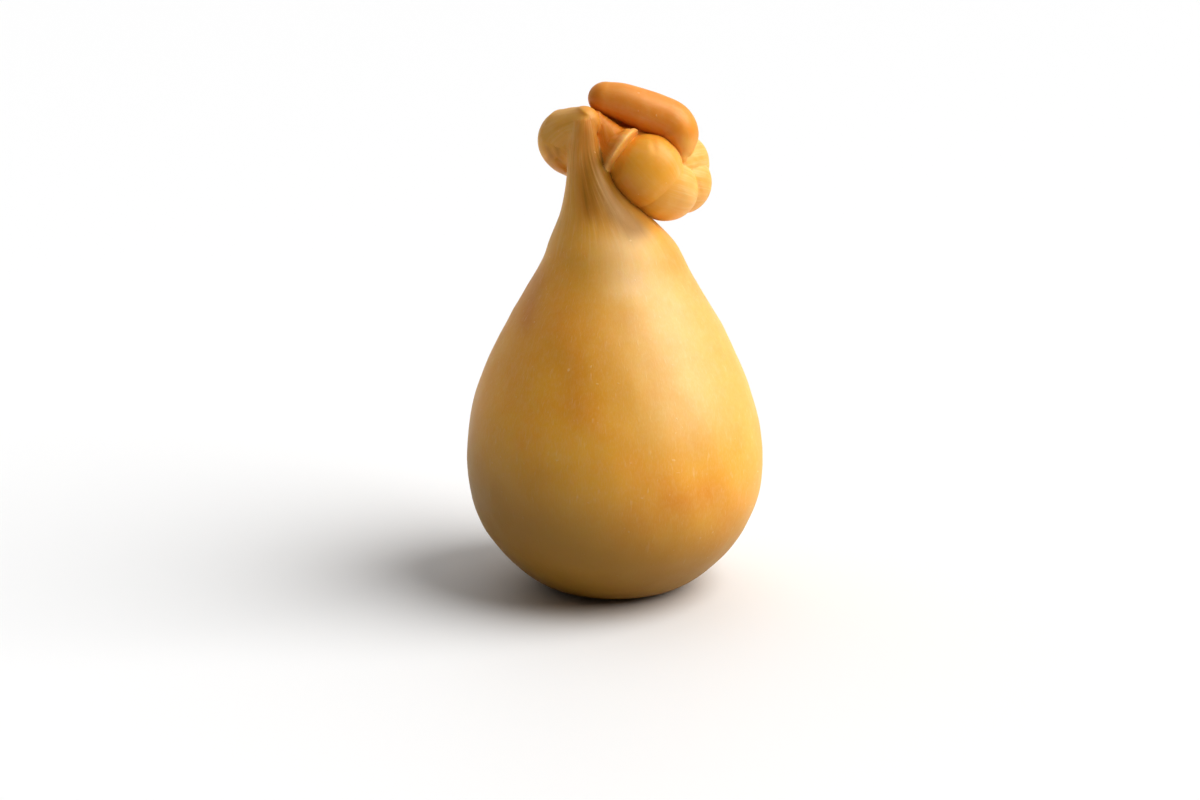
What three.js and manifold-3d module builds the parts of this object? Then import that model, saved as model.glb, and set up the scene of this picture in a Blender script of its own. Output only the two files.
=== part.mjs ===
// A whole smoked caciocavallo: a drop of cheese drawn up into a neck, whose end is tied in a fat knot.
// Millimetres, +Z up. It stands on a small flat foot at z = 0, centred on the origin, and the knot's
// front faces -Y, with its folds bulging towards +X. The cheese is one piece, so it is one solid.
import * as THREE from 'three';
import { mergeVertices } from 'three/addons/utils/BufferGeometryUtils.js';
import Module from 'manifold-3d';

const wasm = await Module();
wasm.setup();

// ---- Driving dimensions ------------------------------------------------------------------------------

const FOOT_RADIUS = 23.5; // the flat spot that the drop settles on
const BELLY_RADIUS = 67.6; // the widest part of the drop
const BELLY_HEIGHT = 62;
const NECK_RADIUS = 5; // the neck where it slips into the knot
const NECK_TOP = 217.5;

// The drop's outline from the foot's edge to the neck's tip: radius and height.
const DROP_OUTLINE = [
  [FOOT_RADIUS, 0],
  [33.5, 2.2],
  [41, 6.6],
  [48.5, 13.2],
  [55.6, 21],
  [61.6, 30.4],
  [66, 45],
  [BELLY_RADIUS, BELLY_HEIGHT],
  [65.4, 79],
  [60.7, 95],
  [49.2, 120],
  [34.4, 145],
  [27.4, 160],
  [18, 174],
  [10.4, 188],
  [6.8, 201],
  [NECK_RADIUS, 211],
  [3.6, 215.5],
  [0, NECK_TOP],
];

// The drop leans to -X as it rises: a little over its shoulders, and then the neck swings aside.
const LEANS = [
  { from: 62, to: 135, by: 0.7 },
  { from: 151, to: 203, by: 13 },
];

// The knot's strands. Each is a rounded rope through its stations: the middle (x, y, z), and the half
// width and half height of the section there.
const KNOT = {
  frontFold: [
    { x: 12.8, y: 4.7, z: 191, wide: 15, tall: 16.8 },
    { x: 14.4, y: 4.7, z: 189.4, wide: 15, tall: 17 },
  ],
  secondFold: [
    { x: 18.5, y: 7.5, z: 183.1, wide: 14.7, tall: 14.7 },
    { x: 22.7, y: 10, z: 181.3, wide: 14.7, tall: 14.7 },
  ],
  lowFold: [
    { x: 24, y: 14.5, z: 184.1, wide: 12, tall: 13 },
    { x: 30.4, y: 18.5, z: 181.9, wide: 13.2, tall: 13.5 },
  ],
  rightFold: [
    { x: 25.5, y: 17.5, z: 190.1, wide: 12.6, tall: 14 },
    { x: 29.4, y: 22.5, z: 190, wide: 13.3, tall: 14 },
  ],
  backLoop: [
    { x: 24, y: 24, z: 189.5, wide: 14, tall: 14 },
    { x: 4.5, y: 29, z: 193, wide: 14, tall: 14 },
    { x: -10, y: 24.5, z: 197, wide: 14.5, tall: 15 },
    { x: -19.4, y: 17, z: 201.3, wide: 15.2, tall: 15.1 },
  ],
  neckBend: [
    { x: -13.6, y: 3.8, z: 212.4, wide: 7.2, tall: 7.3 },
    { x: -16.8, y: 8.5, z: 209.4, wide: 9.5, tall: 9.5 },
    { x: -20, y: 12.5, z: 205.8, wide: 12, tall: 12.2 },
  ],
  collar: [
    { x: -8.5, y: 8, z: 213.6, wide: 3.3, tall: 3.4 },
    { x: -4.9, y: 7.5, z: 207.7, wide: 6.1, tall: 6.6 },
    { x: -1.8, y: 6, z: 202.8, wide: 8, tall: 9.1 },
    { x: 0.4, y: 4.3, z: 200.4, wide: 10, tall: 11.2 },
    { x: 2.8, y: 3.3, z: 198.8, wide: 11.3, tall: 12.1 },
  ],
  tail: [
    { x: -4.4, y: 14, z: 221.2, wide: 7.6, tall: 7.6 },
    { x: 3, y: 14, z: 219.4, wide: 8.6, tall: 8.6 },
    { x: 11, y: 14, z: 216.6, wide: 9.5, tall: 9.5 },
    { x: 19, y: 14, z: 213.3, wide: 10, tall: 10 },
    { x: 25.5, y: 13.8, z: 209.8, wide: 10.2, tall: 10.2 },
    { x: 28.8, y: 12.4, z: 204.6, wide: 9.4, tall: 9.6 },
    { x: 29.8, y: 10.4, z: 199, wide: 6.2, tall: 7 },
    { x: 29.6, y: 9, z: 195.7, wide: 3.2, tall: 4.2 },
  ],
  heart: [
    { x: -6, y: 11.5, z: 196, wide: 12.5, tall: 15 },
    { x: 12, y: 14, z: 192, wide: 14, tall: 16.5 },
  ],
  saddle: [
    { x: -9, y: 14, z: 209, wide: 6.5, tall: 7 },
    { x: -5, y: 17.5, z: 207.5, wide: 8, tall: 9 },
    { x: 4, y: 20.5, z: 206, wide: 9, tall: 10.5 },
    { x: 18, y: 20, z: 203, wide: 9, tall: 10 },
  ],
};

// ---- Fineness of the facets --------------------------------------------------------------------------

const DROP_AROUND = 56;
const DROP_ROWS = 40;
const STRAND_AROUND = 24;
const STRAND_ROW = 4; // millimetres of strand to each row of facets
const END_ROWS = 6; // rows in a strand's rounded end

// ---- Helpers -----------------------------------------------------------------------------------------

/** Turns a closed three.js geometry into a manifold solid. */
function toSolid(geometry) {
  geometry.deleteAttribute('normal');
  geometry.deleteAttribute('uv');
  const merged = mergeVertices(geometry);
  const corners = merged.index.array;
  const triVerts = [];
  for (let i = 0; i < corners.length; i += 3) {
    const [a, b, c] = corners.slice(i, i + 3);
    const hasArea = a !== b && b !== c && c !== a; // a row that closes in a pole leaves some without
    if (hasArea) triVerts.push(a, b, c);
  }
  return new wasm.Manifold(new wasm.Mesh({
    numProp: 3,
    vertProperties: merged.attributes.position.array,
    triVerts: Uint32Array.from(triVerts),
  }));
}

/** Turns a manifold solid back into a flat-shaded three.js geometry. */
function toGeometry(solid) {
  const { vertProperties, triVerts } = solid.getMesh();
  const geometry = new THREE.BufferGeometry();
  geometry.setAttribute('position', new THREE.BufferAttribute(vertProperties, 3));
  geometry.setIndex(new THREE.BufferAttribute(triVerts, 1));
  return geometry;
}

/** Moves every vertex of a geometry to where place(vertex) puts it. */
function reshape(geometry, place) {
  const position = geometry.attributes.position;
  const vertex = new THREE.Vector3();
  for (let i = 0; i < position.count; i++) {
    const moved = place(vertex.fromBufferAttribute(position, i));
    position.setXYZ(i, moved.x, moved.y, moved.z);
  }
  return geometry;
}

// ---- The drop ----------------------------------------------------------------------------------------

function leanAt(height) {
  return LEANS.reduce((sum, { from, to, by }) => sum - by * THREE.MathUtils.smoothstep(height, from, to), 0);
}

/** The outline turned round the axis, and then leant: a flat foot, a round belly and the drawn neck. */
function drop() {
  const side = new THREE.SplineCurve(DROP_OUTLINE.map(([radius, height]) => new THREE.Vector2(radius, height)));
  const profile = [new THREE.Vector2(0, 0), ...side.getSpacedPoints(DROP_ROWS)];
  const geometry = new THREE.LatheGeometry(profile, DROP_AROUND).rotateX(Math.PI / 2);
  return reshape(geometry, (vertex) => vertex.setX(vertex.x + leanAt(vertex.z)));
}

// ---- The knot ----------------------------------------------------------------------------------------

const UP = new THREE.Vector3(0, 0, 1);
const BACK = new THREE.Vector3(0, 1, 0); // the tail drops steeply at its end, so its section keeps to this
const ROUND = 1; // how far a strand's last end bulges, in half widths
const BLUNT = 0.2; // the collar ends in a nearly flat lip

/** The rows of a strand, in order: how full the section is, how far along, and how far past the end. */
function strandRows(length, startReach, endReach) {
  const rows = [];
  for (let i = 0; i < END_ROWS; i++) {
    const turn = (Math.PI / 2) * (i / END_ROWS);
    rows.push({ fullness: Math.sin(turn), along: 0, past: -Math.cos(turn) * startReach });
  }
  const steps = Math.max(1, Math.round(length / STRAND_ROW));
  for (let i = 0; i <= steps; i++) rows.push({ fullness: 1, along: i / steps, past: 0 });
  for (let i = 1; i <= END_ROWS; i++) {
    const turn = (Math.PI / 2) * (i / END_ROWS);
    rows.push({ fullness: Math.cos(turn), along: 1, past: Math.sin(turn) * endReach });
  }
  return rows;
}

/**
 * A rope of cheese with rounded ends, carried through its stations. A lathe gives the rows and columns,
 * and each row is then set square to the path and stretched to the width and height of its section.
 * upright is the direction that the section's height keeps to.
 */
function strand(stations, upright = UP, endBulge = ROUND) {
  const path = new THREE.CatmullRomCurve3(
    stations.map(({ x, y, z }) => new THREE.Vector3(x, y, z)), false, 'catmullrom');
  const section = new THREE.SplineCurve(stations.map(({ wide, tall }) => new THREE.Vector2(wide, tall)));
  const first = stations[0];
  const last = stations[stations.length - 1];
  const rows = strandRows(path.getLength(), first.wide, last.wide * endBulge).map((row) => {
    const forward = path.getTangentAt(row.along);
    const across = forward.clone().cross(upright).normalize();
    return {
      ...row,
      middle: path.getPointAt(row.along).addScaledVector(forward, row.past),
      across,
      up: across.clone().cross(forward),
      size: section.getPoint(path.getUtoTmapping(row.along)),
    };
  });
  const profile = rows.map((row, i) => new THREE.Vector2(row.fullness, i));
  return reshape(new THREE.LatheGeometry(profile, STRAND_AROUND), (vertex) => {
    const row = rows[Math.round(vertex.y)];
    return row.middle.clone()
      .addScaledVector(row.across, vertex.x * row.size.x)
      .addScaledVector(row.up, vertex.z * row.size.y);
  });
}

/** The knot's strands, each as its own closed geometry. */
function knotStrands() {
  return [
    strand(KNOT.frontFold),
    strand(KNOT.secondFold),
    strand(KNOT.lowFold),
    strand(KNOT.rightFold),
    strand(KNOT.backLoop),
    strand(KNOT.neckBend),
    strand(KNOT.collar, UP, BLUNT),
    strand(KNOT.tail, BACK),
    strand(KNOT.heart),
    strand(KNOT.saddle),
  ];
}

// ---- The cheese --------------------------------------------------------------------------------------

const cheese = knotStrands().reduce((whole, part) => whole.add(toSolid(part)), toSolid(drop()));

const rind = new THREE.MeshStandardMaterial({ color: 0xe0a24c, roughness: 0.45, metalness: 0 });

const caciocavallo = new THREE.Mesh(toGeometry(cheese), rind);
caciocavallo.name = 'caciocavallo';

const group = new THREE.Group();
group.add(caciocavallo);

export default group;
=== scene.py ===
"""The looks of a whole smoked caciocavallo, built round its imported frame.

The cheese is one skin: a drop and the strands of its knot. Each is a surface on a grid, with rows along
it and columns round it. They are joined into one closed mesh, and softened where they run together.
Outlines, stations and reliefs are in millimetres of a cheese STATION_HEIGHT tall, and are scaled to the
frame. Lines of creases and marks are in millimetres across and up the picture plane.
"""
import math

import bpy
import numpy as np
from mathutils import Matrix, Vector


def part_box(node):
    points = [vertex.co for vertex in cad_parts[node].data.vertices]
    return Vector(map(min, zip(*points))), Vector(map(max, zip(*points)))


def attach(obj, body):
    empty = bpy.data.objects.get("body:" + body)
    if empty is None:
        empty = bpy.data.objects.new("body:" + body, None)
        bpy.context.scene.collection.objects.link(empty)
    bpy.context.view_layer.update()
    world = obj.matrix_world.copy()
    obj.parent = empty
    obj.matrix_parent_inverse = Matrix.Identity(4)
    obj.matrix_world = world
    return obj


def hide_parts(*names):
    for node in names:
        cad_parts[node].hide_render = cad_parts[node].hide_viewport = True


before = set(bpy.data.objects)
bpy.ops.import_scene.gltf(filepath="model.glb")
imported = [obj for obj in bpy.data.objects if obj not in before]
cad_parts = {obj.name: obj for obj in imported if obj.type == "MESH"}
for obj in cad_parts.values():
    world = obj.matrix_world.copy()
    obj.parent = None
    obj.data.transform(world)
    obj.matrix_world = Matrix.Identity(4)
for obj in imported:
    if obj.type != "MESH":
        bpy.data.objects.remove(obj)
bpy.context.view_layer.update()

NODE = "caciocavallo"
BODY = "root"

FOOT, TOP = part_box(NODE)
STATION_HEIGHT = 228.8
MM = (TOP.z - FOOT.z) / STATION_HEIGHT  # a millimetre of the stations, in metres of the frame

BELLY_RADIUS = 67.5
FOOT_RADIUS = 23.5

# The camera looks down by TILT at AIM, from where the belly shows at its size in the photograph's frame.
FRAME_PIXELS = 1200  # the photograph's width
BELLY_PIXELS = 149  # from the belly's middle to its edge
LENS, SENSOR = 85.0, 36.0  # millimetres
DISTANCE = LENS / SENSOR * FRAME_PIXELS / (BELLY_PIXELS / BELLY_RADIUS)
TILT = math.radians(16.0)
AIM = (-6.6, 0.0, 85.8)


# ---- Curves and relief ---------------------------------------------------------------------------------

UP = (0.0, 0.0, 1.0)
BACK = (0.0, 1.0, 0.0)
QUARTER = math.pi / 2  # of a turn
FINE = 60  # about how often a curve is read between two of its rows to measure it
WAVES = 28  # sine waves in a relief
WAVE_SPREAD = (0.7, 1.4)  # how many times they go up and down in the relief's length


def smooth(x, start, end):
    """A step that eases from 0 at start to 1 at end: t * t * (3 - 2 t)."""
    t = np.clip((x - start) / (end - start), 0.0, 1.0)
    return t * t * (3.0 - 2.0 * t)


def bump(x, middle, half):
    """A rounded hump: 1 at the middle, 0 from half away, cos squared between."""
    return np.cos(np.clip((x - middle) / half, -1.0, 1.0) * QUARTER) ** 2


def through(rows, at):
    """A Catmull-Rom curve through the rows, one apart, read at the places in at."""
    rows = np.asarray(rows, float)
    ends = np.vstack([2 * rows[0] - rows[1], rows, 2 * rows[-1] - rows[-2]])
    first = np.clip(np.floor(at).astype(int), 0, len(rows) - 2)
    t = (at - first)[:, None]
    a, b, c, d = (ends[first + i] for i in range(4))
    return 0.5 * (2 * b + (c - a) * t + (2 * a - 5 * b + 4 * c - d) * t**2 + (3 * b - a - 3 * c + d) * t**3)


def evenly(rows, count, measure=slice(None), closer=0.0):
    """Places along a curve through the rows, evenly spaced by its length in the measured columns, or
    closer by that share towards the curve's end and wider by as much at its start. Also that length."""
    fine = np.linspace(0, len(rows) - 1, FINE * len(rows))
    steps = np.linalg.norm(np.diff(through(rows, fine)[:, measure], axis=0), axis=1)
    travelled = np.concatenate([[0.0], np.cumsum(steps)])
    share = np.linspace(0, 1, count)
    share += closer * share * (1 - share)
    return np.interp(share * travelled[-1], travelled, fine), travelled[-1]


def waves(points, length, seed):
    """Smooth random relief, mostly from -1 to 1: a sum of sine waves of about that length, whose
    directions and phases are drawn at random."""
    draw = np.random.default_rng(seed)
    ways = draw.normal(size=(WAVES, 3))
    ways /= np.linalg.norm(ways, axis=1)[:, None]
    turns = ways * (2 * math.pi / length) * draw.uniform(*WAVE_SPREAD, (WAVES, 1))
    phase = draw.uniform(0, 2 * math.pi, WAVES)
    return np.sin(points @ turns.T + phase).sum(-1) / math.sqrt(WAVES)


def ring(columns):
    """The angles of the columns round a grid, and the full turn that closes it."""
    return np.arange(columns + 1) * (2 * math.pi / columns)


# ---- Lines in the picture plane ------------------------------------------------------------------------

def seen(places):
    """Where places show in the picture, in millimetres across and up from its middle at the aim's distance.
    What is nearer to the camera shows larger."""
    x, y, z = np.moveaxis(np.asarray(places, float) - AIM, -1, 0)
    nearer = z * math.sin(TILT) - y * math.cos(TILT)
    larger = DISTANCE / (DISTANCE - nearer)
    return x * larger, (y * math.sin(TILT) + z * math.cos(TILT)) * larger


def beside(places, line):
    """How far the places lie from a line, as seen by the camera, how far along it, and how far before its
    end. The line is a few (across, up) points of the picture plane."""
    across, up = seen(places)
    nearest, run = np.full(across.shape, np.inf), np.zeros(across.shape)
    line = np.asarray(line, float)
    travelled = 0.0
    for start, end in zip(line[:-1], line[1:]):
        step = end - start
        length = np.linalg.norm(step)
        share = np.clip(((across - start[0]) * step[0] + (up - start[1]) * step[1]) / length**2, 0, 1)
        away = np.hypot(across - start[0] - share * step[0], up - start[1] - share * step[1])
        run = np.where(away < nearest, travelled + share * length, run)
        nearest = np.minimum(nearest, away)
        travelled += length
    return nearest, run, travelled - run


def crease(places, line, width, fade=2.0):
    """How deep in a crease the places lie: exp(-(d / width)^2) at a distance d from its line, as seen by
    the camera. It fades out over the line's ends."""
    away, run, left = beside(places, line)
    return np.exp(-(away / width) ** 2) * smooth(run, 0, fade) * smooth(left, 0, fade)


def front(places):
    """True on the half of a piece that faces the viewer."""
    return places[..., 1] < places[..., 1].mean()


# ---- Meshes --------------------------------------------------------------------------------------------

LEAST_SHARE = 0.01  # softening below this leaves a vertex where it is


def put_in_scene(name, data):
    """A new object of that name and data."""
    placed = bpy.data.objects.new(name, data)
    bpy.context.scene.collection.objects.link(placed)
    return placed


def skin(name, points, maps):
    """A closed mesh from a grid of points (rows, columns, 3) in millimetres, whose first and last rows
    each close in one point. maps holds UV maps of (rows, columns + 1, 2)."""
    rows, columns = points.shape[:2]
    vertices = np.vstack([points[:1, 0], points[1:-1].reshape(-1, 3), points[-1:, 0]]) * MM
    row = np.arange(rows)[:, None]
    column = np.arange(columns + 1)[None, :]
    number = 1 + (row - 1) * columns + column % columns
    number[0], number[-1] = 0, len(vertices) - 1

    i, j = np.meshgrid(np.arange(rows - 1), np.arange(columns), indexing="ij")
    corners = np.stack([[i, j], [i, j + 1], [i + 1, j + 1], [i + 1, j]], -1).reshape(2, -1, 4)
    at_start, at_end = corners[0, :, 0] == 0, corners[0, :, 0] == rows - 2
    groups = [
        corners[:, at_start][:, :, [0, 2, 3]],
        corners[:, ~at_start & ~at_end],
        corners[:, at_end][:, :, [0, 1, 2]],
    ]
    faces = []
    for group in groups:
        faces += number[group[0], group[1]].tolist()

    mesh = bpy.data.meshes.new(name)
    mesh.from_pydata(vertices.tolist(), [], faces)
    at = np.concatenate([group.reshape(2, -1) for group in groups], axis=1)
    for title, grid in maps.items():
        layer = mesh.uv_layers.new(name=title)
        layer.data.foreach_set("uv", grid[at[0], at[1]].astype(np.float32).ravel())
    return put_in_scene(name, mesh)


def maps_of(angle, along, smoke, fibre, brown, pale=0.0):
    """The UV maps of a grid: grain (turns round it, about how many millimetres along it), tint (how
    smoked, with painted shade counted in, and how fibrous) and shade (how brown, from stains and painted
    shade, and how pale, from pale marks and painted highlights)."""
    def paired(first, second):
        return np.stack([np.broadcast_to(first, angle.shape), np.broadcast_to(second, angle.shape)], -1)

    return {
        "grain": paired(angle / (2 * math.pi), along),
        "tint": paired(smoke, fibre),
        "shade": paired(brown, pale),
    }


def joined(pieces):
    """One closed mesh of all the pieces, by boolean unions."""
    whole = pieces[0]
    for piece in pieces[1:]:
        union = whole.modifiers.new(piece.name, "BOOLEAN")
        union.operation = "UNION"
        union.solver = "MANIFOLD"
        union.object = piece
    finished = whole.evaluated_get(bpy.context.evaluated_depsgraph_get())
    mesh = bpy.data.meshes.new_from_object(finished)
    for piece in pieces:
        bpy.data.objects.remove(piece)
    return mesh


def read(items, name, size, kind):
    """What a mesh's vertices or edges hold under that name, in rows of size."""
    values = np.empty(len(items) * size, kind)
    items.foreach_get(name, values)
    return values.reshape(-1, size)


def soften(mesh, share, passes):
    """Moves each vertex by its share towards the mean of its neighbours, pass by pass. share is a
    function of the vertices' places in millimetres."""
    place = read(mesh.vertices, "co", 3, np.float32).astype(float)
    ends = read(mesh.edges, "vertices", 2, np.int32)
    amount = share(place / MM)
    moving = np.flatnonzero(amount > LEAST_SHARE)
    amount = amount[moving][:, None]
    number = np.full(len(place), -1)
    number[moving] = np.arange(len(moving))

    start, neighbour = np.concatenate([ends, ends[:, ::-1]]).T
    start = number[start]
    start, neighbour = start[start >= 0], neighbour[start >= 0]
    neighbours = np.bincount(start, minlength=len(moving))[:, None]
    for _ in range(passes):
        total = np.stack([np.bincount(start, place[neighbour, k], len(moving)) for k in range(3)], -1)
        place[moving] += amount * (total / neighbours - place[moving])
    mesh.vertices.foreach_set("co", place.astype(np.float32).ravel())
    mesh.update()


# ---- The drop ------------------------------------------------------------------------------------------

# Radius and height of the outline, from the foot's edge to the neck's tip.
DROP_OUTLINE = [
    (FOOT_RADIUS, 0), (33.5, 2.2), (41, 6.6), (48.5, 13.2), (55.6, 21), (61.6, 30.4), (66, 45),
    (BELLY_RADIUS, 62), (65.4, 79), (60.7, 95), (49.2, 120), (34.4, 145), (27.4, 160), (18, 174),
    (10.4, 188), (6.8, 201), (5, 211), (3.6, 215.5), (0, 217.5),
]
DROP_ROWS, DROP_COLUMNS, FOOT_ROWS = 220, 200, 8

# How far the drop leans to -X between two heights: a little over its shoulders, then the whole neck.
LEANS = [(0.7, 62, 135), (13, 151, 203)]

# The skin's broad waves: size, length and seed. They come in above the foot, and fade on the thin neck.
SWELLS = [(0.55, 70, 11), (0.2, 26, 12), (0.05, 11, 16)]
SWELL_HEIGHTS, SWELL_RADII = (3, 30), (6, 40)

# The neck's fibres are waves on a drum of this radius, drawn out this many times up the neck. They come
# in and go out between these heights. The pleats among them stand out most at PLEATS_MIDDLE, and end
# PLEATS_HALF from it. Wrinkles come in near the neck's tip.
FIBRE_DRUM, FIBRE_DRAWN = 9, 22
FIBRES_IN, FIBRES_OUT = (148, 196), (212, 217)
PLEATS_MIDDLE, PLEATS_HALF = 196, 30
WRINKLES_IN = (205, 214)
TIP_RADII = (0, 4)  # the relief ends where the radius does

# How smoky, brown and pale the neck's two marks are: the valley, a smoky stain deepened with painted
# shade, and the side, painted shadow of the knot's folds.
VALLEY_SMOKE_AND_SHADE, VALLEY_BROWN = 0.8, 0.56
FOLD_SHADOW_BROWN, FOLD_SHADOW_PALE = 0.95, 0.12


def drop():
    """Circles of the outline's radius, each leant aside as LEANS says. The skin has broad shallow waves,
    and on the neck the fibres stand out as fine ridges that run up into the knot."""
    places, length = evenly(DROP_OUTLINE, DROP_ROWS, closer=0.4)
    foot = np.column_stack([np.linspace(0, FOOT_RADIUS, FOOT_ROWS)[:-1], np.zeros(FOOT_ROWS - 1)])
    outline = np.maximum(np.vstack([foot, through(DROP_OUTLINE, places)]), 0)
    along = np.concatenate([foot[:, 0] - FOOT_RADIUS, np.linspace(0, length, DROP_ROWS)])
    radius, height, along, angle = np.broadcast_arrays(
        outline[:, :1], outline[:, 1:], along[:, None], ring(DROP_COLUMNS)[None, :])
    cosine, sine = np.cos(angle), np.sin(angle)

    bare = np.stack([radius * cosine, radius * sine, height], -1)
    swell = sum(size * waves(bare, wave, seed) for size, wave, seed in SWELLS)
    swell = smooth(height, *SWELL_HEIGHTS) * swell * smooth(radius, *SWELL_RADII)
    drum = np.stack([cosine * FIBRE_DRUM, sine * FIBRE_DRUM, height / FIBRE_DRAWN], -1)
    fibres = 0.05 * waves(drum, 1.9, seed=13)
    fibres = fibres * smooth(height, *FIBRES_IN) * (1 - smooth(height, *FIBRES_OUT))
    pleats = 0.07 * waves(drum, 7, seed=14) * bump(height, PLEATS_MIDDLE, PLEATS_HALF)
    wrinkles = 0.3 * waves(bare, 4, seed=15) * smooth(height, *WRINKLES_IN)
    ridges = fibres + pleats + wrinkles
    finished = radius + smooth(radius, *TIP_RADII) * (swell + ridges)

    leant = sum(by * smooth(height, start, end) for by, start, end in LEANS)
    points = np.stack([finished * cosine - leant, finished * sine, height], -1)
    return skin("drop", points[:, :-1], maps_of(angle, along, **drop_looks(points, height)))


def neck_stain_and_shade(points):
    """How deep the places lie in the neck's two brown marks: the valley up its front, a smoky stain
    deepened with painted shade, and the side that runs down under the folds, painted with their shadow."""
    # The valley: a smoky stain, deepened with painted shade.
    valley = crease(points, [(-3, 76), (-5, 93), (-5.2, 101), (-3.8, 109), (-4.4, 132)], width=4.6, fade=14)
    # The side: painted shadow of the knot's folds on the neck's right flank.
    side = crease(points, [(-0.5, 117), (2, 96), (7, 86), (15, 79), (28, 73)], width=7.2, fade=14)
    return valley, side * (1 - 0.6 * valley)


def drop_looks(points, height):
    """The neck is the more fibrous the higher, with its brown stain and painted shade. The pinch is orange,
    a faint reddish streak crosses the left shoulder, and two faint smoky marks lie on the belly. Painted
    highlights make the side towards the light paler, most of all below the folds. Marks fade out with the
    depth, round to the back."""
    depth = points[..., 1]
    facing = smooth(depth, 14, 2)
    valley, side = neck_stain_and_shade(points)
    pinch = crease(points, [(-4.3, 132), (-5.4, 126), (-2, 118)], width=2.6, fade=2)
    shoulder = crease(points, [(-24, 66), (-29, 52), (-32.5, 40), (-36, 24)], width=4.4, fade=14)
    patch = crease(points, [(-13, 52), (-14.5, 32), (-12, 6), (-7, -22)], width=9, fade=16)
    cheek = crease(points, [(22, -40), (40, -46), (60, -38)], width=7, fade=12)
    # Painted sheen: the side towards the light is paler.
    painted_sheen = crease(points, [(18, 70), (27, 42), (38, 12), (48, -36)], width=24, fade=34)
    painted_sheen = painted_sheen * smooth(depth, 60, -10)
    # Painted highlight below the folds: paler and less smoked.
    crown = crease(points, [(6, 82), (12, 62), (15, 40)], width=12, fade=14) * smooth(depth, 40, -5)
    neck = smooth(height, 140, 185)
    # Part of the valley's colour is painted shade, and the side's brown and pale are painted shadow.
    smoke = 0.5 * pinch + 0.5 * shoulder + VALLEY_SMOKE_AND_SHADE * valley + 0.3 * patch + 0.3 * cheek
    brown = VALLEY_BROWN * valley + FOLD_SHADOW_BROWN * side + 0.17 * shoulder
    return {
        "smoke": 0.12 * neck + facing * smoke - 0.25 * crown,
        "fibre": 0.06 + 0.84 * neck,
        "brown": 0.16 * neck + facing * brown,
        "pale": 0.08 * neck + facing * FOLD_SHADOW_PALE * side + 0.4 * painted_sheen + 0.45 * crown,
    }


# ---- The knot ------------------------------------------------------------------------------------------

SPACING = 0.75  # millimetres between the knot's rows, and about as much between its columns
FEWEST_ROWS = 4  # in the shortest stretch of a strand
NUDGE = 1e-3  # how far before and after a place a path is read for its direction, in stations

# The lip of the collar's band. Its crease, its edge and its softening all follow it.
LIP = [(17, 122), (12.4, 114.5), (8.8, 107.5), (6.2, 101)]


def rows_for(length):
    """How many rows that length of a strand takes."""
    return max(FEWEST_ROWS, round(length / SPACING))


def strand(name, stations, looks, relief=None, upright=UP, blunt=1.0):
    """A rope of cheese with rounded ends, carried through its stations (x, y, z, half width, half height).
    Each row is an ellipse square to the path, whose height keeps to upright: middle + width * cos(angle)
    to the side + height * sin(angle) upwards. The end rows shrink on a quarter circle, which blunt
    flattens at the last end. relief(along, angle, places) adds to the radius, and looks(along, places)
    gives what maps_of takes: along runs from 0 to 1."""
    stations = np.asarray(stations, float)
    limit = len(stations) - 1.0
    start_reach, end_reach = stations[0, 3], stations[-1, 3] * blunt
    _, length = evenly(stations, 2, slice(0, 3))
    path_rows = rows_for(length)
    end_rows = rows_for(max(end_reach * QUARTER, stations[-1, 3]))
    start = np.linspace(0, QUARTER, rows_for(start_reach * QUARTER), endpoint=False)
    end = np.linspace(0, QUARTER, end_rows + 1)[1:]

    places, _ = evenly(stations, path_rows, slice(0, 3))
    at = np.concatenate([np.zeros_like(start), places, np.full_like(end, limit)])
    full = np.concatenate([np.sin(start), np.ones(path_rows), np.cos(end)])[:, None]
    past = np.concatenate([-np.cos(start) * start_reach, np.zeros(path_rows), np.sin(end) * end_reach])
    turned = start_reach * QUARTER
    along = np.concatenate([start * start_reach, turned + np.linspace(0, length, path_rows),
                            turned + length + end * end_reach])[:, None]

    before, after = (through(stations, np.clip(at + nudge, 0, limit))[:, :3] for nudge in (-NUDGE, NUDGE))
    forward = (after - before) / np.linalg.norm(after - before, axis=1)[:, None]
    across = np.cross(forward, upright)
    across /= np.linalg.norm(across, axis=1)[:, None]
    upwards = np.cross(across, forward)
    path = through(stations, at)
    middle = path[:, :3] + forward * past[:, None]
    wide, tall = path[:, 3:].T[:, :, None]
    columns = round(2 * math.pi * float(path[:, 3:].max()) / SPACING)
    share, angle = np.broadcast_arrays(along / along[-1], ring(columns)[None, :])

    def surface(extra):
        """The rows' ellipses, with their half width and half height grown by extra."""
        x = ((wide + extra) * full * np.cos(angle))[..., None]
        z = ((tall + extra) * full * np.sin(angle))[..., None]
        return middle[:, None] + across[:, None] * x + upwards[:, None] * z

    points = surface(relief(share, angle, surface(0.0)) if relief else 0.0)
    maps = maps_of(angle, along, **looks(share, points))
    # The last row comes first, so that the faces point outwards.
    return skin(name, points[::-1, :-1], {title: grid[::-1] for title, grid in maps.items()})


def lumps(height, length, seed, creases=()):
    """Relief for a strand: broad waves of that height and length, less its creases. A crease has a depth,
    a line, a width and a fade."""
    def relief(along, angle, places):
        folds = sum(depth * crease(places, line, width, fade) for depth, line, width, fade in creases)
        return height * waves(places, length, seed) - folds

    return relief


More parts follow.
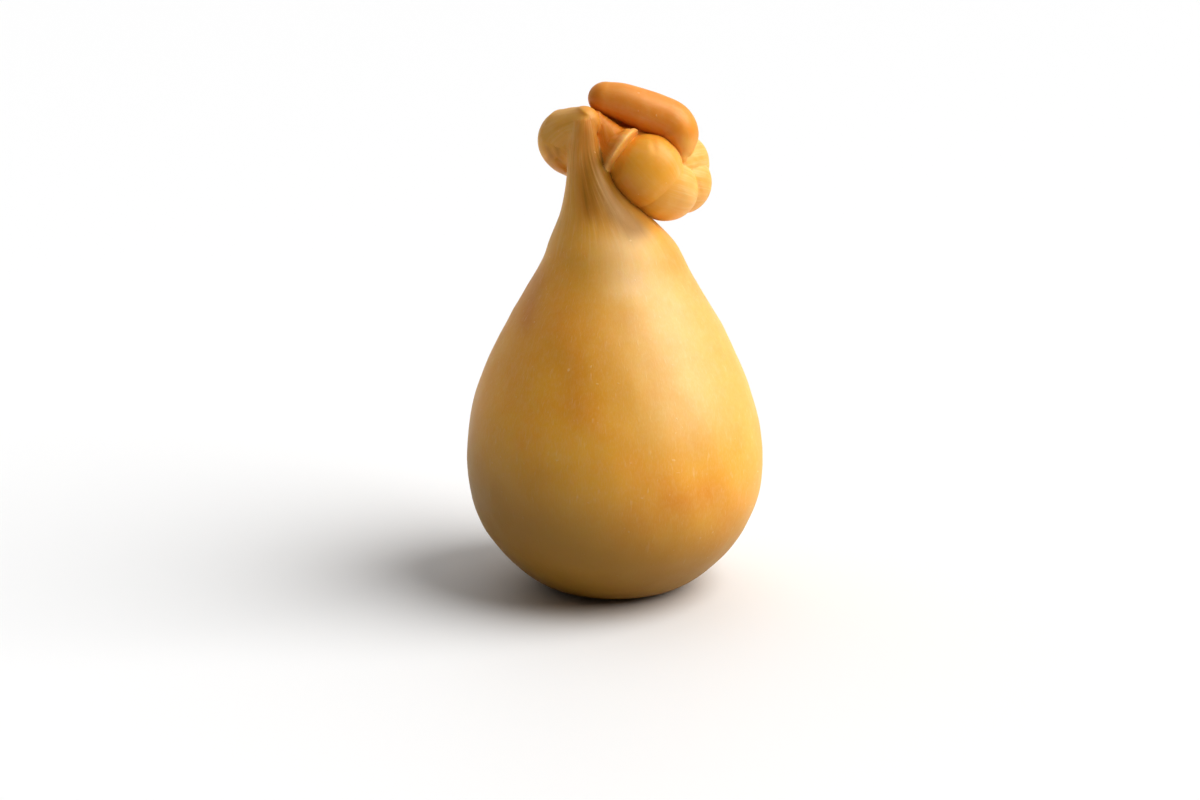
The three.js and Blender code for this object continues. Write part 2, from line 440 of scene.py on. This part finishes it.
def fold_looks(along, places):
    """The folds are orange and smooth at the lower left, where shade is painted, and more fibrous towards
    the right, where painted light makes them paler.
    """
    across, _ = seen(places)
    # Towards the right: more fibrous, and paler with painted light.
    right = smooth(across, 28, 42)
    # Painted shade: deeper orange and browner on the shaded lower left.
    low = crease(places, [(6, 102), (13, 93), (22, 85)], width=6, fade=6)
    under = crease(places, [(46, 98), (37, 90), (25, 83)], width=6, fade=6)
    return {
        "smoke": 0.5 * low + 0.14 - 0.06 * right - 0.1 * under,
        "fibre": 0.12 + 0.7 * right,
        "brown": 0.12 * low,
        "pale": 0.14 * right + 0.1 * under,
    }


def front_fold():
    """The big fold that bulges towards the viewer. A shallow dent parts its crown in two, and a groove
    runs where it meets the collar's lip."""
    stations = [(12.8, 4.7, 191, 15, 16.8), (14.4, 4.7, 189.4, 15, 17)]
    dent = (0.35, [(23.6, 123), (24.0, 117), (25.4, 110)], 1.6, 4)
    groove = (1.2, LIP, 1.7, 1)
    return strand("front_fold", stations, fold_looks, lumps(0.25, 22, seed=21, creases=[dent, groove]))


def second_fold():
    """The round fold below and behind the front one."""
    stations = [(18.5, 7.5, 183.1, 14.7, 14.7), (22.7, 10, 181.3, 14.7, 14.7)]
    return strand("second_fold", stations, fold_looks, lumps(0.25, 18, seed=22))


def low_fold():
    """The fold to the right of the second one, low on the knot, with one fine crease."""
    stations = [(24, 14.5, 184.1, 12, 13), (30.4, 18.5, 181.9, 13.2, 13.5)]
    fine = (0.4, [(43.9, 100.6), (45.3, 96), (45.8, 92)], 0.8, 2)
    return strand("low_fold", stations, fold_looks, lumps(0.25, 16, seed=23, creases=[fine]))


def right_fold():
    """The fold above the low one, on the right. Fine creases run outwards over it."""
    stations = [(25.5, 17.5, 190.1, 12.6, 14), (29.4, 22.5, 190, 13.3, 14)]
    creases = [
        (0.4, [(40.3, 106), (43.9, 102.4), (47.1, 97.9), (48.5, 94.7)], 0.7, 2),
        (0.3, [(41.7, 106.5), (45.3, 102.8), (48, 98.8)], 0.6, 2),
        (0.2, [(39.9, 110.1), (43.9, 107.4), (47.1, 104.2)], 0.7, 2),
        (0.15, [(40.8, 113.3), (44.8, 110.1), (48, 106.9)], 0.8, 2),
    ]
    return strand("right_fold", stations, fold_looks, lumps(0.2, 16, seed=24, creases=creases))


def back_loop():
    """The loop that runs behind the neck, out to the lobe on the left, whose skin is drawn in folds
    towards the neck. Behind the neck it is twisted: three shallow ridges wind round it."""
    stations = [
        (24, 24, 189.5, 14, 14), (4.5, 29, 193, 14, 14), (-10, 24.5, 197, 14.5, 15),
        (-19.4, 17, 201.3, 15.2, 15.1),
    ]
    tuck = [(-19.9, 109.2), (-17.2, 106.9), (-13, 103)]
    inner = [(-19.9, 126.8), (-17.7, 117.8), (-14.9, 107.8)]
    middle = [(-23.1, 124.6), (-21.3, 116.9), (-18.6, 110.1), (-15.9, 106)]
    outer = [(-25.8, 117.8), (-22.7, 111), (-18.6, 106.9)]
    underside = [(-26, 108), (-20, 105), (-14, 103)]
    ridges, wind = 3, 9  # ridges round the loop, and how far they wind along it, in radians

    def relief(along, angle, places):
        folds = 1.3 * crease(places, tuck, width=0.9, fade=1)
        folds += 0.4 * sum(crease(places, line, width=1.1) for line in (middle, inner, outer))
        twist = 0.35 * np.sin(ridges * angle + wind * along)
        twist = twist * smooth(along, 0.1, 0.2) * smooth(along, 0.75, 0.6)
        return 0.4 * waves(places, 24, seed=25) + twist - folds * front(places)

    def looks(along, places):
        # Painted shade: darker and browner under the lobe and along its drawn creases.
        under = crease(places, underside, width=4, fade=2) * front(places)
        drawn = sum(crease(places, line, width=1.2, fade=5) for line in (middle, outer)) * front(places)
        return {
            "smoke": 0.15 + 0.4 * under + 0.3 * drawn,
            "fibre": 0.4,
            "brown": 0.16 + 0.3 * under + 0.3 * drawn,
        }

    return strand("back_loop", stations, looks, relief)


def neck_bend():
    """Where the neck folds over into the left lobe. It carries on the neck's marks: its stain, deepened
    with painted shade, and the painted shadow of the folds.
    """
    stations = [(-13.6, 3.8, 212.4, 7.2, 7.3), (-16.8, 8.5, 209.4, 9.5, 9.5), (-20, 12.5, 205.8, 12, 12.2)]

    def looks(along, places):
        valley, side = neck_stain_and_shade(places)
        return {
            "smoke": 0.12 + VALLEY_SMOKE_AND_SHADE * valley,
            "fibre": 0.45,
            # Partly painted shade in the valley, and painted shadow of the folds on the side.
            "brown": 0.18 + VALLEY_BROWN * valley + FOLD_SHADOW_BROWN * side,
            "pale": 0.08 + FOLD_SHADOW_PALE * side,
        }

    return strand("neck_bend", stations, looks)


def collar():
    """The squeezed strand that widens from the pinch beside the neck. It ends in a raised band with a
    sharp lip, and fine rings wrinkle its upper side."""
    stations = [
        (-8.5, 8, 213.6, 3.3, 3.4), (-4.9, 7.5, 207.7, 6.1, 6.6), (-1.8, 6, 202.8, 8.0, 9.1),
        (0.4, 4.3, 200.4, 9.3, 10.4), (2.8, 3.3, 198.8, 10, 10.8),
    ]
    band_reach = (4.9, 6.1)  # how far the band reaches from its lip
    band_from = (0.5, 0.6)  # where it comes in, this and the next two as shares of the strand's length
    lip_at = 0.9
    ring_spacing = 0.065

    def band(places):
        away, _, _ = beside(places, LIP)
        return 1 - smooth(away, *band_reach)

    def relief(along, angle, places):
        lip = 0.6 * bump(along, lip_at, 0.06)
        rings = 0.3 * np.sin(along * 2 * math.pi / ring_spacing)
        rings = rings * smooth(along, 0.2, 0.3) * smooth(np.sin(angle), -0.4, 0.4)
        return (1.3 * band(places) + lip) * smooth(along, *band_from) + rings * (1 - band(places))

    def looks(along, places):
        on = band(places) * smooth(along, *band_from)
        # The side's brown is painted shadow of the folds; the pale on the lip is a painted highlight.
        _, side = neck_stain_and_shade(places)
        return {
            "smoke": 0.55 * (1 - on) + 0.3,
            "fibre": 0.4,
            "brown": 0.08 * (1 - on) + 0.4 * side,
            "pale": 0.08 * on + 0.2 * bump(along, lip_at, 0.07),
        }

    return strand("collar", stations, looks, relief, blunt=0.15)


def tail():
    """The tail end of the rope, which lies on top of the knot and droops to the right."""
    stations = [
        (-4.4, 14, 221.2, 7.6, 7.6), (3, 14, 219.4, 8.6, 8.6), (11, 14, 216.6, 9.5, 9.5),
        (19, 14, 213.3, 10.0, 10.0), (25.5, 13.8, 209.8, 10.2, 10.2), (28.8, 12.4, 204.6, 9.4, 9.6),
        (29.8, 10.4, 199.0, 6.2, 7), (29.6, 9, 195.7, 3.2, 4.2),
    ]

    def relief(along, angle, places):
        inwards = 0.2  # keeps the waves within the frame's height
        return 0.2 * waves(places, 22, seed=26) - inwards

    def looks(along, places):
        # Painted shade along the underside, and painted highlights along the top and at the tip, which
        # faces the light.
        under = crease(places, [(-7, 126), (0, 122), (12, 118), (22, 113), (34, 108)], width=5, fade=6)
        top = crease(places, [(-2, 142), (14, 139), (30, 133), (40, 126)], width=5, fade=6)
        tip = crease(places, [(42, 120), (39, 113), (36, 106)], width=4.5, fade=4)
        left = 1 - smooth(along, 0.0, 0.45)
        return {
            "smoke": 0.7 + 0.3 * under - 0.4 * tip,
            "fibre": 0.1,
            "brown": 0.34 * under + 0.14 * left,
            "pale": 0.1 * top + 0.08 * tip,
        }

    return strand("tail", stations, looks, relief, upright=BACK)


def heart():
    """The middle of the knot, which fills it behind the folds."""
    stations = [(-6, 11.5, 196, 12.5, 15), (12, 14, 192, 14, 16.5)]
    return strand("heart", stations, fold_looks)


def saddle():
    """What the tail lies on, between the loop and the folds in front."""
    stations = [
        (-9, 14, 209, 6.5, 7), (-5, 17.5, 207.5, 8, 9), (4, 20.5, 206, 9, 10.5), (18, 20, 203, 9, 10),
    ]
    return strand("saddle", stations, fold_looks, lumps(0.4, 12, seed=27))


# ---- Materials -----------------------------------------------------------------------------------------

class Value:
    """A socket in a node tree. Sums and products with it add Math nodes."""

    def __init__(self, nodes, socket):
        self.nodes, self.socket = nodes, socket

    def _math(self, operation, a, b):
        return self.nodes.add("ShaderNodeMath", {"operation": operation}, {0: a, 1: b})

    def __add__(self, other):
        return self._math("ADD", self, other)

    def __mul__(self, other):
        return self._math("MULTIPLY", self, other)

    __radd__ = __add__
    __rmul__ = __mul__


class Nodes:
    """The nodes of a material or of the studio. shader is the one that its output starts with."""

    def __init__(self, owner):
        owner.use_nodes = True
        self.tree = owner.node_tree
        self.shader = next(node for node in self.tree.nodes if "OUTPUT" not in node.type)

    def add(self, kind, settings=None, sockets=None, output=0):
        """One of a new node's outputs, by its type, its settings, and its sockets' values or links."""
        node = self.tree.nodes.new(kind)
        for name, value in (settings or {}).items():
            setattr(node, name, value)
        self.feed(node, sockets or {})
        return Value(self, node.outputs[output])

    def feed(self, node, sockets):
        """Gives the node's sockets their values or links. A colour is three numbers."""
        for name, value in sockets.items():
            socket = node.inputs[name]
            if isinstance(value, Value):
                self.tree.links.new(value.socket, socket)
            elif socket.type == "RGBA":
                socket.default_value = (*value, 1.0)
            else:
                socket.default_value = value

    def split(self, vector):
        """The three values of a vector."""
        first = self.add("ShaderNodeSeparateXYZ", {}, {0: vector})
        return [Value(self, socket) for socket in first.socket.node.outputs]

    def uv(self, name):
        """The two values of a UV map."""
        return self.split(self.add("ShaderNodeUVMap", {"uv_map": name}))[:2]

    def noise(self, place, scale=1.0, detail=2.0, roughness=0.5):
        """Cloudy noise, mostly from 0.2 to 0.8, with that many clouds to a unit of place."""
        return self.add("ShaderNodeTexNoise", {}, {
            "Vector": place, "Scale": scale, "Detail": detail, "Roughness": roughness})

    def step(self, value, start, end, low=0.0, high=1.0):
        """A step that eases from low at start to high at end."""
        return self.add("ShaderNodeMapRange", {"interpolation_type": "SMOOTHSTEP"}, {
            "Value": value, "From Min": start, "From Max": end, "To Min": low, "To Max": high})

    def mix(self, factor, a, b):
        """Colour a turning into colour b as factor goes from 0 to 1."""
        return self.add("ShaderNodeMix", {"data_type": "RGBA"}, {0: factor, 6: a, 7: b}, output=2)


GOLD = (0.87, 0.46, 0.048)  # the rind by itself
AMBER = (0.80, 0.28, 0.010)  # where it is smoked, and for painted shade
STRAW = (0.96, 0.72, 0.42)  # fibres, film, flecks, and painted highlights on lit places
BROWN = (0.36, 0.16, 0.006)  # dark fibres, brown stains, and painted shade
FOOT_SHADE = (0.30, 0.145, 0.001)  # painted shade towards the foot

# How much of a colour a pattern brings in, where it shows fully.
MOTTLE_AMBER, CLOUDS_AMBER = 0.2, 0.32
GRAINS_STRAW, FINE_STRAW, FINE_FIBRE_STRAW, DUST_STRAW = 0.08, 0.05, 0.16, 0.10
THREADS_STRAW, FLECK_STRAW, FLECK_BODY_STRAW, SPECK_STRAW = 0.3, 0.08, 0.18, 0.36
DARK_THREADS_BROWN = 0.2
# How much painted shade the foot brings in.
FOOT_SHADE_SHARE = 0.94

# How rough the rind is at its smoothest, and how much rougher the patterns make it.
SMOOTHEST, MOTTLE_ROUGH, GRAINS_ROUGH, THREADS_ROUGH = 0.30, 0.16, 0.12, 0.06

# How high the patterns stand beside the mottle, and how high the mottle does, in millimetres.
THREADS_HIGH, DUST_HIGH, FLECK_HIGH, SPECK_HIGH, GRAINS_HIGH = 0.5, 0.08, 0.4, 0.6, 0.5
BUMP_STRENGTH, BUMP_HEIGHT = 0.25, 0.4

# Heights in millimetres. Dust and most flecks end between the body and the knot. The painted shade of
# the foot comes in from one height down to another, both of them lower towards the light by its slope.
BODY_TO, KNOT_FROM = 150, 180
FOOT_SHADE_FROM, FOOT_SHADE_TO, FOOT_SHADE_SLOPE = 82, 22, 0.35

# How far light goes into the rind, and how it shines.
WAX = {
    "Subsurface Weight": 0.4, "Subsurface Scale": 5 * MM, "Subsurface Radius": (1.0, 0.4, 0.1),
    "IOR": 1.45, "Specular IOR Level": 0.75, "Specular Tint": (1.0, 0.9, 0.72),
}


def rind():
    """Waxy golden rind: mottled with smoky amber, with painted shade towards the foot, pale fibres that run
    along the strands, and small flecks. Its maps carry painted shade and painted highlights besides stains."""
    material = bpy.data.materials.new("rind")
    nodes = Nodes(material)
    place = nodes.add("ShaderNodeTexCoord", output="Object")
    aside, _, height = nodes.split(place)
    turns, along = nodes.uv("grain")
    smoke, fibre = nodes.uv("tint")
    brown, pale = nodes.uv("shade")
    angle = turns * (2 * math.pi)
    cosine = nodes.add("ShaderNodeMath", {"operation": "COSINE"}, {0: angle})
    sine = nodes.add("ShaderNodeMath", {"operation": "SINE"}, {0: angle})

    def drawn(drum, length, detail, roughness=0.5):
        """Noise on a drum of that radius, drawn out along the strand to that many millimetres."""
        on_drum = {0: cosine * drum, 1: sine * drum, 2: along * (1 / length)}
        return nodes.noise(nodes.add("ShaderNodeCombineXYZ", {}, on_drum), 1.0, detail, roughness)

    # A step's two numbers are the noise between which a pattern comes in.
    streaks = drawn(drum=9.0, length=34.0, detail=3.0, roughness=0.55)
    fine = drawn(drum=24.0, length=16.0, detail=2.0)
    dust = nodes.step(drawn(drum=130.0, length=1.6, detail=1.0), 0.42, 0.72)
    fleck = nodes.step(drawn(drum=52.0, length=4.5, detail=1.5), 0.63, 0.78)
    mottle = nodes.noise(place, scale=38.0, detail=3.0, roughness=0.55)
    clouds = nodes.noise(place, scale=16.0)
    grains = nodes.noise(place, scale=240.0, detail=3.0, roughness=0.6)
    speck = nodes.step(nodes.noise(place, scale=520.0, detail=0.0), 0.82, 0.88)
    threads = nodes.step(streaks, 0.48, 0.74) * fibre
    dark_threads = nodes.step(streaks, 0.46, 0.28) * fibre
    body = nodes.step(height, KNOT_FROM * MM, BODY_TO * MM)
    # Painted shade towards the foot, reaching higher on the side away from the light.
    foot = nodes.step(height + aside * FOOT_SHADE_SLOPE, FOOT_SHADE_FROM * MM, FOOT_SHADE_TO * MM)

    mottled = nodes.step(mottle, 0.42, 0.72) * MOTTLE_AMBER + nodes.step(clouds, 0.42, 0.68) * CLOUDS_AMBER
    film = nodes.step(grains, 0.4, 0.75) * GRAINS_STRAW + dust * body * DUST_STRAW
    film = film + nodes.step(fine, 0.5, 0.8) * (fibre * FINE_FIBRE_STRAW + FINE_STRAW)
    flecks = fleck * (body * FLECK_BODY_STRAW + FLECK_STRAW) + speck * SPECK_STRAW
    # Amber from the smoke map is partly painted shade.
    colour = nodes.mix(smoke + mottled, GOLD, AMBER)
    # Straw from the pale map is partly painted highlight on lit places.
    colour = nodes.mix(threads * THREADS_STRAW + film + pale, colour, STRAW)
    # Brown from the brown map is partly painted shade.
    colour = nodes.mix(dark_threads * DARK_THREADS_BROWN + brown, colour, BROWN)
    colour = nodes.mix(flecks, colour, STRAW)
    # Painted shade: darker towards the foot.
    colour = nodes.mix(foot * FOOT_SHADE_SHARE, colour, FOOT_SHADE)

    roughness = SMOOTHEST + mottle * MOTTLE_ROUGH + grains * GRAINS_ROUGH + threads * THREADS_ROUGH
    relief = threads * THREADS_HIGH + (dust * DUST_HIGH + fleck * FLECK_HIGH) * body
    relief = relief + speck * SPECK_HIGH + grains * GRAINS_HIGH + mottle
    normal = nodes.add("ShaderNodeBump", {}, {
        "Strength": BUMP_STRENGTH, "Distance": BUMP_HEIGHT * MM, "Height": relief})
    nodes.feed(nodes.shader, {"Base Color": colour, "Roughness": roughness, "Normal": normal, **WAX})
    return material


# ---- The cheese ----------------------------------------------------------------------------------------

# Where strands run together: a line in the picture plane, its reach, the share that a vertex moves in a
# pass, and the passes. The band's lip stays sharp at its lower end.
SEAMS = [
    ([(-8.5, 131.5), (-12, 127.5), (-13.1, 120), (-13.8, 112)], 5.0, 0.7, 160),
    ([(-23, 131), (-25.2, 127), (-24.5, 120), (-19, 111)], 3.5, 0.7, 100),
    ([(-13.6, 113), (-14.2, 109), (-14.6, 105)], 2.0, 0.6, 60),
    ([(-4.5, 127), (-1.8, 118), (1.4, 109), (5.9, 101)], 2.5, 0.6, 60),
    (LIP[:3], 0.9, 0.5, 3),
    ([(37.6, 106.5), (34.9, 97.4), (29.4, 90.6), (22.7, 85.2)], 1.3, 0.5, 8),
]
SEAM_FADE = 0.5  # how softly a line ends
SEAM_DEPTH = 12  # the seams are softened only in front of this
KNOT_SHARE = 0.4  # how much the whole knot is softened, in one pass
KNOT_HEIGHTS = (160, 175)  # where that comes in


def beside_seam(line, reach, share):
    """How much soften() moves each place: share times how deep it lies in a crease along the line."""
    return lambda places: share * crease(places, line, reach, SEAM_FADE) * (places[:, 1] < SEAM_DEPTH)


def cheese():
    """The joined skin, softened where strands run together and a little all over the knot."""
    mesh = joined([drop(), front_fold(), second_fold(), low_fold(), right_fold(), back_loop(), neck_bend(),
                   collar(), tail(), heart(), saddle()])
    for line, reach, share, passes in SEAMS:
        soften(mesh, beside_seam(line, reach, share), passes)
    soften(mesh, lambda places: KNOT_SHARE * smooth(places[:, 2], *KNOT_HEIGHTS), passes=1)
    mesh.shade_smooth()
    mesh.materials.clear()
    mesh.materials.append(rind())
    mesh.name = "cheese"
    piece = put_in_scene("cheese", mesh)
    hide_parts(NODE)
    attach(piece, BODY)


# ---- Floor, light and camera ---------------------------------------------------------------------------

FLOOR_RADIUS, FLOOR_SIDES = 6.0, 96  # the radius in metres
FLOOR_WHITE, FLOOR_ROUGHNESS = (0.88, 0.88, 0.88), 0.6

KEY_AZIMUTH, KEY_ELEVATION = 79, 46
KEY_SPREAD = math.radians(56)  # how wide the key light looks from the cheese
KEY_STRENGTH = 3.3

# The studio is brightest behind and above the cheese. It is DIM where a way's cosine to BRIGHT_WAY is
# below DIM_BELOW, and BRIGHT where it is above BRIGHT_ABOVE.
BRIGHT_WAY = (0.0, 0.88, 0.47)
DIM, BRIGHT = 0.03, 0.75
DIM_BELOW, BRIGHT_ABOVE = -0.3, 0.9
WHITE = (1.0, 1.0, 1.0)
GAMMA = 0.85

NEAREST, FARTHEST = 0.05, 30.0  # what the camera sees, in metres


def floor():
    """A plain white disc under the cheese."""
    angle = ring(FLOOR_SIDES)[:-1]
    edge = np.column_stack([np.cos(angle), np.sin(angle), 0 * angle]) * FLOOR_RADIUS
    mesh = bpy.data.meshes.new("floor")
    mesh.from_pydata(edge.tolist(), [], [list(range(FLOOR_SIDES))])
    material = bpy.data.materials.new("floor")
    nodes = Nodes(material)
    nodes.feed(nodes.shader, {"Base Color": FLOOR_WHITE, "Roughness": FLOOR_ROUGHNESS})
    mesh.materials.append(material)
    put_in_scene("floor", mesh)


def heading(azimuth, elevation):
    """The way to a point at that elevation and azimuth, counted from the viewer's side towards +X."""
    a, e = math.radians(azimuth), math.radians(elevation)
    return Vector((math.sin(a) * math.cos(e), -math.cos(a) * math.cos(e), math.sin(e)))


def key_light():
    """A wide soft light from the right."""
    light = bpy.data.lights.new("key", "SUN")
    light.energy, light.angle = KEY_STRENGTH, KEY_SPREAD
    holder = put_in_scene("key", light)
    holder.rotation_euler = heading(KEY_AZIMUTH, KEY_ELEVATION).to_track_quat("Z", "Y").to_euler()


def studio():
    """A white room that is brighter behind the cheese."""
    world = bpy.data.worlds.new("studio")
    bpy.context.scene.world = world
    nodes = Nodes(world)
    way = nodes.add("ShaderNodeTexCoord", output="Generated")
    dot = {"operation": "DOT_PRODUCT"}
    cosine = nodes.add("ShaderNodeVectorMath", dot, {0: way, 1: BRIGHT_WAY}, output="Value")
    strength = nodes.step(cosine, DIM_BELOW, BRIGHT_ABOVE, DIM, BRIGHT)
    nodes.feed(nodes.shader, {"Color": WHITE, "Strength": strength})
    settings = bpy.context.scene.view_settings
    settings.view_transform = "Standard"
    settings.gamma = GAMMA


def camera():
    """The photograph's view of the cheese."""
    data = bpy.data.cameras.new("camera")
    data.lens, data.sensor_width = LENS, SENSOR
    data.clip_start, data.clip_end = NEAREST, FARTHEST
    away = heading(0, math.degrees(TILT))
    holder = put_in_scene("camera", data)
    holder.location = (Vector(AIM) + away * DISTANCE) * MM
    holder.rotation_euler = away.to_track_quat("Z", "Y").to_euler()
    bpy.context.scene.camera = holder


camera()
key_light()
studio()
floor()
cheese()
